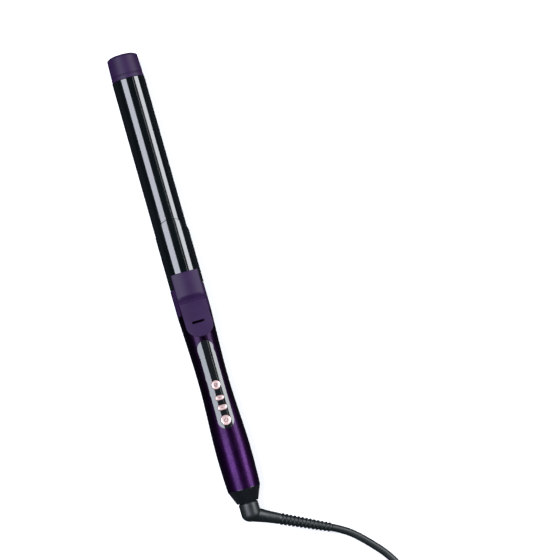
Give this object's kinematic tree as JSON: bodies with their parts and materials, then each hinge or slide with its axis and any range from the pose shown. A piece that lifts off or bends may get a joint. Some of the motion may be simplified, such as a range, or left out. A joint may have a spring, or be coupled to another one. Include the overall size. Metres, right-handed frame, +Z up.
{
  "type": "curling iron",
  "caption": "Slim round curling iron with a short sprung clip, buttoned waisted handle, fold-out rest and swivel cord with coiled lead and plug.",
  "frame": {"origin": "on the surface the iron lies on, under the middle of its body from tip to end cap, cord left out", "axes": "+Y along the iron towards its tip, +Z up through the clip lever and buttons, +X to the side the cord leaves"},
  "size_m": [0.1712, 0.5387, 0.0351],
  "materials": {
    "satin_purple_plastic": "satin",
    "black_ceramic_coat": "gloss",
    "metallic_purple_plastic": "metallic gloss",
    "gloss_black_plastic": "gloss",
    "rose_gold": "plated gloss",
    "black_rubber": "satin",
    "black_strap": "matte",
    "moulded_black": "satin",
    "nickel": "polished",
    "matte_black_plastic": "matte",
    "steel": "brushed",
    "heat_proof_plastic": "matte",
    "aluminium": "extruded",
    "white_ceramic": "matte",
    "amber_film": "film",
    "glass_bead": "gloss",
    "fuse_metal": "drawn",
    "white_wire": "satin",
    "green_board": "lacquered",
    "switch_black": "matte",
    "capacitor_blue": "gloss",
    "contact_brass": "drawn"
  },
  "bodies": {
    "root": {"tip_cap": "satin_purple_plastic", "tip_plug": "heat_proof_plastic", "barrel": "black_ceramic_coat", "heat_spreader_upper": "aluminium", "heat_spreader_lower": "aluminium", "heater_plate": "white_ceramic", "insulating_sleeve": "amber_film", "thermistor": "glass_bead", "thermal_fuse": "fuse_metal", "heater_leads": "white_wire", "sensor_leads": "white_wire", "barrel_ring": "heat_proof_plastic", "ring_screws": "steel", "collar": "satin_purple_plastic", "hinge_pin": "steel", "stand_pin": "steel", "handle_front_shell": "metallic_purple_plastic", "handle_rear_shell": "metallic_purple_plastic", "handle_screws": "steel", "control_panel": "gloss_black_plastic", "circuit_board": "green_board", "board_screws": "steel", "tact_switches": "switch_black", "power_switch_chip": "switch_black", "film_capacitor": "capacitor_blue", "mains_leads": "white_wire", "end_cap": "gloss_black_plastic", "contact_block": "heat_proof_plastic", "contact_springs": "contact_brass", "cord_tube": "black_rubber", "cord_coil": "black_rubber", "cord_tie": "black_strap", "plug_body": "moulded_black", "plug_pins": "nickel", "plug_pin_sleeves": "moulded_black"},
    "clip": {"clip_shell": "black_ceramic_coat", "clip_rivets": "steel", "clip_lever": "satin_purple_plastic", "torsion_spring": "steel"},
    "stand": {"stand": "matte_black_plastic"},
    "swivel": {"swivel_core": "heat_proof_plastic", "contact_rings": "contact_brass", "swivel_boot": "black_rubber"},
    "mode_button": {"mode_button": "rose_gold"},
    "plus_button": {"plus_button": "rose_gold"},
    "minus_button": {"minus_button": "rose_gold"},
    "power_button": {"power_button": "rose_gold"}
  },
  "joints": [
    {"name": "clip_hinge", "type": "hinge", "parent": "root", "child": "clip", "pos_m": [0, -0.0192, 0.0182], "axis": [1, 0, 0], "range_deg": [0, 12], "stiffness_Nm_per_rad": 0.35, "springref_deg": -34.38},
    {"name": "stand_hinge", "type": "hinge", "parent": "root", "child": "stand", "pos_m": [0, -0.0124, 0.0014], "axis": [1, 0, 0], "range_deg": [0, 85]},
    {"name": "cord_swivel", "type": "hinge", "parent": "root", "child": "swivel", "pos_m": [0, -0.1762, 0.0132], "axis": [0, -1, 0], "continuous": true},
    {"name": "mode_button_press", "type": "slide", "parent": "root", "child": "mode_button", "axis": [0, 0, -1], "range_m": [0, 0.0006], "stiffness_N_per_m": 600, "springref_m": -0.0008},
    {"name": "plus_button_press", "type": "slide", "parent": "root", "child": "plus_button", "axis": [0, 0, -1], "range_m": [0, 0.0006], "stiffness_N_per_m": 600, "springref_m": -0.0008},
    {"name": "minus_button_press", "type": "slide", "parent": "root", "child": "minus_button", "axis": [0, 0, -1], "range_m": [0, 0.0006], "stiffness_N_per_m": 600, "springref_m": -0.0008},
    {"name": "power_button_press", "type": "slide", "parent": "root", "child": "power_button", "axis": [0, 0, -1], "range_m": [0, 0.0006], "stiffness_N_per_m": 600, "springref_m": -0.0008}
  ]
}
